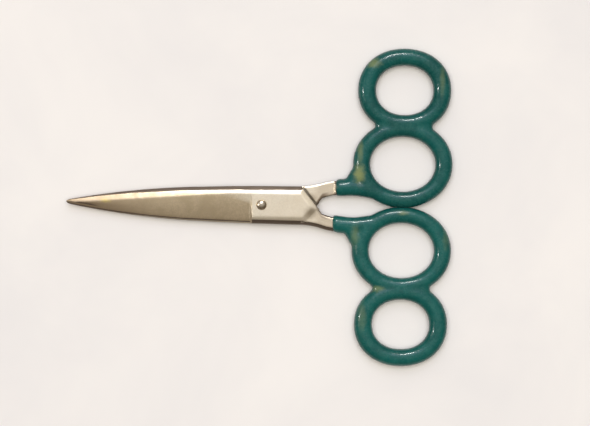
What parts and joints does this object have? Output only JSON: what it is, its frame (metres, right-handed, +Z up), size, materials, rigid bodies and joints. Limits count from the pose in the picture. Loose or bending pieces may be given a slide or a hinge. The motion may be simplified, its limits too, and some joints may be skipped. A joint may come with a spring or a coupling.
{
  "type": "left-handed training scissors",
  "caption": "Left-handed training scissors with plain pointed steel blades, a riveted pivot and double finger loops dipped in green vinyl.",
  "frame": {"origin": "on the pivot's axis, in the plane the scissors lie on; within 0.7 mm of the bottom centre of the whole", "axes": "+X from the pivot towards the handles along the closing line, tips at -X; +Z up out of the table, through the rivet's domed head; +Y towards the back half's handle"},
  "size_m": [0.127, 0.1044, 0.006],
  "materials": {
    "nickel_steel": "satin",
    "rivet_steel": "polished",
    "braze": "satin",
    "rod_steel": "satin",
    "vinyl": "gloss"
  },
  "bodies": {
    "front_half": {"front_blade": "nickel_steel", "front_outer_loop": "rod_steel", "front_loop_welds": "braze", "front_grip": "vinyl"},
    "back_half": {"back_blade": "nickel_steel", "back_outer_loop": "rod_steel", "back_loop_welds": "braze", "back_grip": "vinyl", "pivot_rivet": "rivet_steel"}
  },
  "joints": [
    {"name": "blade_pivot", "type": "hinge", "parent": "front_half", "child": "back_half", "pos_m": [0, 0, 0.0029], "axis": [0, 0, 1], "range_deg": [0, 122]}
  ]
}
